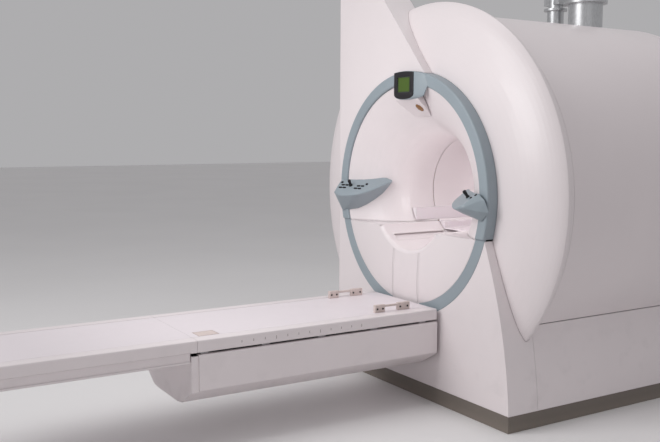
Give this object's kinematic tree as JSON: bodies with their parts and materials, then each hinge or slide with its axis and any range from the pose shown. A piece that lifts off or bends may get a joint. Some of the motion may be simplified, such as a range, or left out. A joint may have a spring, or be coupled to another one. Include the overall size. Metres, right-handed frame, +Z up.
{
  "type": "mri scanner",
  "caption": "Whole-body magnetic resonance scanner: drum gantry with flared bore, coloured ring, control consoles and a lifting patient table.",
  "frame": {"origin": "on the floor under the middle of the magnet, midway between its four floor anchors", "axes": "+X to the right for someone at the table facing the bore, +Y along the bore from the table side to the rear, +Z up"},
  "size_m": [2, 4.0025, 2.239],
  "materials": {
    "cover_white": "satin",
    "ring_grey": "satin",
    "plinth_brown": "matte",
    "board_white": "satin",
    "bracket_cream": "matte",
    "frame_steel": "satin",
    "bare_steel": "brushed",
    "vessel_steel": "satin",
    "shield_aluminium": "satin",
    "coil_copper": "matte",
    "nut_bronze": "machined",
    "coil_resin": "matte",
    "control_black": "matte",
    "belt_rubber": "matte",
    "screen_glass": "glossy"
  },
  "bodies": {
    "gantry": {"plinth": "plinth_brown", "front_cover": "cover_white", "drum_front_cover": "cover_white", "drum_side_covers": "cover_white", "rear_cover": "cover_white", "side_skirts": "cover_white", "ring_hoop": "ring_grey", "ring_inlay": "ring_grey", "front_funnel": "cover_white", "bib_panel": "cover_white", "bore_liner": "cover_white", "bore_bridge": "board_white", "body_coil": "coil_copper", "gradient_coil": "coil_resin", "vacuum_vessel": "vessel_steel", "thermal_shield": "shield_aluminium", "helium_vessel": "vessel_steel", "coil_former": "shield_aluminium", "magnet_coils": "coil_copper", "suspension_rods": "bare_steel", "magnet_feet": "frame_steel", "cover_frame": "bare_steel", "service_turret": "vessel_steel", "lift_base": "frame_steel", "lift_brackets": "frame_steel", "guide_posts": "bare_steel", "lift_motor": "frame_steel", "lift_belt": "belt_rubber", "display_housing": "ring_grey", "display_screen": "screen_glass", "laser_housing": "cover_white", "console_left": "ring_grey", "console_right": "ring_grey"},
    "table": {"lift_carriage": "frame_steel", "lift_nut": "nut_bronze", "table_frame": "shield_aluminium", "trough_shell": "cover_white", "side_panels": "cover_white", "table_rails": "cover_white", "foot_extension": "cover_white", "tabletop": "board_white", "travel_drive": "belt_rubber", "strap_brackets": "bracket_cream"},
    "lift_screw_body": {"lift_screw": "bare_steel"},
    "motor_pulley_body": {"motor_pulley": "shield_aluminium"},
    "joystick_left_body": {"joystick_left": "control_black"},
    "joystick_right_body": {"joystick_right": "control_black"},
    "left_key_1_body": {"left_key_1": "control_black"},
    "left_key_2_body": {"left_key_2": "control_black"},
    "left_key_3_body": {"left_key_3": "control_black"},
    "left_key_4_body": {"left_key_4": "control_black"},
    "left_key_5_body": {"left_key_5": "control_black"},
    "left_key_6_body": {"left_key_6": "control_black"},
    "left_key_7_body": {"left_key_7": "control_black"},
    "left_key_8_body": {"left_key_8": "control_black"},
    "left_round_button_outer_body": {"left_round_button_outer": "control_black"},
    "left_round_button_inner_body": {"left_round_button_inner": "control_black"},
    "right_key_1_body": {"right_key_1": "control_black"},
    "right_round_button_outer_body": {"right_round_button_outer": "control_black"},
    "right_round_button_inner_body": {"right_round_button_inner": "control_black"}
  },
  "joints": [
    {"name": "table_lift", "type": "slide", "parent": "gantry", "child": "table", "axis": [0, 0, 1], "range_m": [0, 0.41]},
    {"name": "lift_screw_turn", "type": "hinge", "parent": "gantry", "child": "lift_screw_body", "pos_m": [0, -0.738, 0.05], "axis": [0, 0, 1], "range_deg": [0, 7380.5]},
    {"name": "motor_pulley_turn", "type": "hinge", "parent": "gantry", "child": "motor_pulley_body", "pos_m": [0.092, -0.738, 0.05], "axis": [0, 0, 1], "range_deg": [0, 11070.5]},
    {"name": "joystick_left_tilt", "type": "hinge", "parent": "gantry", "child": "joystick_left_body", "pos_m": [-0.51603, -0.81901, 1.07637], "axis": [0.891, 0.454, 0], "range_deg": [-15, 15], "stiffness_Nm_per_rad": 0.8},
    {"name": "joystick_right_tilt", "type": "hinge", "parent": "gantry", "child": "joystick_right_body", "pos_m": [0.51603, -0.81901, 1.07637], "axis": [0.891, -0.454, 0], "range_deg": [-15, 15], "stiffness_Nm_per_rad": 0.8},
    {"name": "left_key_1_press", "type": "slide", "parent": "gantry", "child": "left_key_1_body", "axis": [-0.2539, 0.4982, -0.829], "range_m": [0, 0.002], "stiffness_N_per_m": 800, "springref_m": -0.001},
    {"name": "left_key_2_press", "type": "slide", "parent": "gantry", "child": "left_key_2_body", "axis": [-0.2539, 0.4982, -0.829], "range_m": [0, 0.002], "stiffness_N_per_m": 800, "springref_m": -0.001},
    {"name": "left_key_3_press", "type": "slide", "parent": "gantry", "child": "left_key_3_body", "axis": [-0.2539, 0.4982, -0.829], "range_m": [0, 0.002], "stiffness_N_per_m": 800, "springref_m": -0.001},
    {"name": "left_key_4_press", "type": "slide", "parent": "gantry", "child": "left_key_4_body", "axis": [-0.2539, 0.4982, -0.829], "range_m": [0, 0.002], "stiffness_N_per_m": 800, "springref_m": -0.001},
    {"name": "left_key_5_press", "type": "slide", "parent": "gantry", "child": "left_key_5_body", "axis": [-0.2539, 0.4982, -0.829], "range_m": [0, 0.002], "stiffness_N_per_m": 800, "springref_m": -0.001},
    {"name": "left_key_6_press", "type": "slide", "parent": "gantry", "child": "left_key_6_body", "axis": [-0.2539, 0.4982, -0.829], "range_m": [0, 0.002], "stiffness_N_per_m": 800, "springref_m": -0.001},
    {"name": "left_key_7_press", "type": "slide", "parent": "gantry", "child": "left_key_7_body", "axis": [-0.2539, 0.4982, -0.829], "range_m": [0, 0.002], "stiffness_N_per_m": 800, "springref_m": -0.001},
    {"name": "left_key_8_press", "type": "slide", "parent": "gantry", "child": "left_key_8_body", "axis": [-0.2539, 0.4982, -0.829], "range_m": [0, 0.002], "stiffness_N_per_m": 800, "springref_m": -0.001},
    {"name": "left_round_button_outer_press", "type": "slide", "parent": "gantry", "child": "left_round_button_outer_body", "axis": [-0.2539, 0.4982, -0.829], "range_m": [0, 0.002], "stiffness_N_per_m": 800, "springref_m": -0.001},
    {"name": "left_round_button_inner_press", "type": "slide", "parent": "gantry", "child": "left_round_button_inner_body", "axis": [-0.2539, 0.4982, -0.829], "range_m": [0, 0.002], "stiffness_N_per_m": 800, "springref_m": -0.001},
    {"name": "right_key_1_press", "type": "slide", "parent": "gantry", "child": "right_key_1_body", "axis": [0.2539, 0.4982, -0.829], "range_m": [0, 0.002], "stiffness_N_per_m": 800, "springref_m": -0.001},
    {"name": "right_round_button_outer_press", "type": "slide", "parent": "gantry", "child": "right_round_button_outer_body", "axis": [0.2539, 0.4982, -0.829], "range_m": [0, 0.002], "stiffness_N_per_m": 800, "springref_m": -0.001},
    {"name": "right_round_button_inner_press", "type": "slide", "parent": "gantry", "child": "right_round_button_inner_body", "axis": [0.2539, 0.4982, -0.829], "range_m": [0, 0.002], "stiffness_N_per_m": 800, "springref_m": -0.001}
  ],
  "couplings": [
    {"joint": "lift_screw_turn", "follows": "table_lift", "rad_per_m": 314.16},
    {"joint": "motor_pulley_turn", "follows": "table_lift", "rad_per_m": 471.24}
  ]
}
